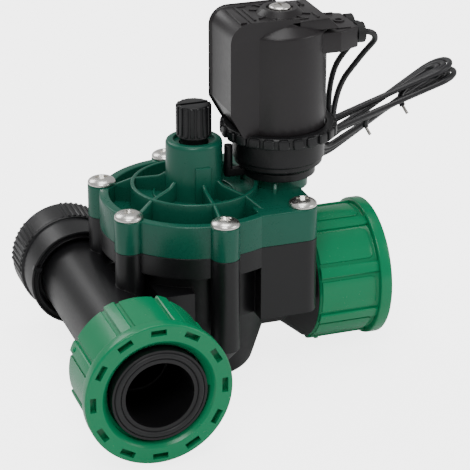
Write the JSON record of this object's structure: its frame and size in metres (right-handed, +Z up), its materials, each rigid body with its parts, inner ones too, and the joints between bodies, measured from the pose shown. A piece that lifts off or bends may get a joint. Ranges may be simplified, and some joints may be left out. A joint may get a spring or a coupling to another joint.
{
  "type": "solenoid valve",
  "caption": "Diaphragm solenoid valve with swivel union nuts, a capped tee port, a flow control knob, a bleed lever and a wired coil.",
  "frame": {"origin": "centre of the outlet's sealing face, on the port axis", "axes": "+X out of the outlet, +Z up along the diaphragm's axis, the open inlet faces -Y and the capped port +Y"},
  "size_m": [0.1506, 0.1079, 0.1144],
  "materials": {
    "body_black": "satin moulded glass-filled nylon, fine even grain",
    "bonnet_green": "dark green moulded nylon, semi-gloss on the rim",
    "nut_green": "bright green moulded plastic, glossy panels",
    "knob_black": "satin black moulded plastic",
    "coil_plastic": "dark grey-brown moulded encapsulation",
    "base_black": "satin black moulded plastic",
    "cap_black": "satin black moulded plastic, knurled rim",
    "screw_nickel": "nickel-plated steel, light machining marks",
    "stainless": "turned stainless steel",
    "spring_steel": "drawn stainless wire",
    "yoke_steel": "folded zinc-plated strip",
    "seal_rubber": "black nitrile",
    "membrane_rubber": "fabric-reinforced black rubber",
    "support_acetal": "natural acetal",
    "bobbin_nylon": "natural nylon",
    "copper_wire": "enamelled copper winding",
    "ring_acetal": "natural acetal split ring",
    "lead_black": "black PVC insulation",
    "bare_wire": "bare tinned strands"
  },
  "bodies": {
    "valve": {"valve_body": "body_black", "bonnet": "bonnet_green", "bonnet_screws": "screw_nickel", "diaphragm": "membrane_rubber", "diaphragm_spring": "spring_steel", "knob_circlip": "stainless", "solenoid_base": "base_black", "base_o_ring": "seal_rubber", "solenoid_ring_nut": "base_black", "coil_housing": "coil_plastic", "coil_winding": "copper_wire", "coil_bobbin": "bobbin_nylon", "yoke_frame": "yoke_steel", "armature_tube": "stainless", "fixed_core": "stainless", "plunger_spring": "spring_steel", "top_screw": "screw_nickel", "top_washer": "stainless", "wire_grommets": "seal_rubber", "lead_front": "lead_black", "lead_rear": "lead_black", "lead_hank": "lead_black", "lead_tips": "bare_wire", "inlet_seal_ring": "seal_rubber", "outlet_seal_ring": "seal_rubber"},
    "diaphragm_stack": {"diaphragm_support": "support_acetal", "seat_seal": "seal_rubber", "diaphragm_bolt": "stainless"},
    "flow_knob": {"flow_knob": "knob_black"},
    "flow_stem": {"flow_stem": "knob_black", "stem_o_ring": "seal_rubber"},
    "plunger": {"plunger": "stainless", "plunger_seal": "seal_rubber"},
    "bleed_lever": {"bleed_lever": "knob_black"},
    "inlet_slip": {"inlet_split_ring": "ring_acetal"},
    "inlet_nut": {"inlet_nut": "nut_green"},
    "outlet_slip": {"outlet_split_ring": "ring_acetal"},
    "outlet_nut": {"outlet_nut": "nut_green"},
    "cap_gasket": {"end_cap_gasket": "seal_rubber"},
    "end_cap": {"end_cap": "cap_black"}
  },
  "joints": [
    {"name": "flow_knob_turn", "type": "hinge", "parent": "valve", "child": "flow_knob", "pos_m": [-0.0584, 0, 0.0517], "axis": [0, 0, -1], "range_deg": [0, 630]},
    {"name": "stem_travel", "type": "slide", "parent": "flow_knob", "child": "flow_stem", "axis": [0, 0, -1], "range_m": [0, 0.0035]},
    {"name": "diaphragm_lift", "type": "slide", "parent": "valve", "child": "diaphragm_stack", "axis": [0, 0, 1], "range_m": [0, 0.0035], "stiffness_N_per_m": 1500, "springref_m": -0.004, "deforming": ["diaphragm_spring", "diaphragm"]},
    {"name": "plunger_lift", "type": "slide", "parent": "valve", "child": "plunger", "axis": [0, 0, 1], "range_m": [0, 0.0018], "stiffness_N_per_m": 600, "springref_m": -0.003, "deforming": ["plunger_spring"]},
    {"name": "bleed_lever_turn", "type": "hinge", "parent": "valve", "child": "bleed_lever", "pos_m": [-0.0309, 0, 0.038], "axis": [0, 0, 1], "range_deg": [0, 90]},
    {"name": "inlet_nut_slide", "type": "slide", "parent": "valve", "child": "inlet_slip", "axis": [0, -1, 0], "range_m": [0, 0.014]},
    {"name": "inlet_nut_turn", "type": "hinge", "parent": "inlet_slip", "child": "inlet_nut", "pos_m": [-0.0902, -0.05, 0], "axis": [0, -1, 0], "continuous": true},
    {"name": "outlet_nut_slide", "type": "slide", "parent": "valve", "child": "outlet_slip", "axis": [1, 0, 0], "range_m": [0, 0.014]},
    {"name": "outlet_nut_turn", "type": "hinge", "parent": "outlet_slip", "child": "outlet_nut", "pos_m": [-0.012, 0, 0], "axis": [1, 0, 0], "continuous": true},
    {"name": "cap_slide", "type": "slide", "parent": "valve", "child": "cap_gasket", "axis": [0, 1, 0], "range_m": [0, 0.0109]},
    {"name": "cap_turn", "type": "hinge", "parent": "cap_gasket", "child": "end_cap", "pos_m": [-0.0902, 0.03, 0], "axis": [0, 1, 0], "range_deg": [0, 2160]}
  ],
  "couplings": [
    {"joint": "stem_travel", "follows": "flow_knob_turn", "m_per_rad": 0.00031831},
    {"joint": "cap_slide", "follows": "cap_turn", "m_per_rad": 0.00028871}
  ]
}
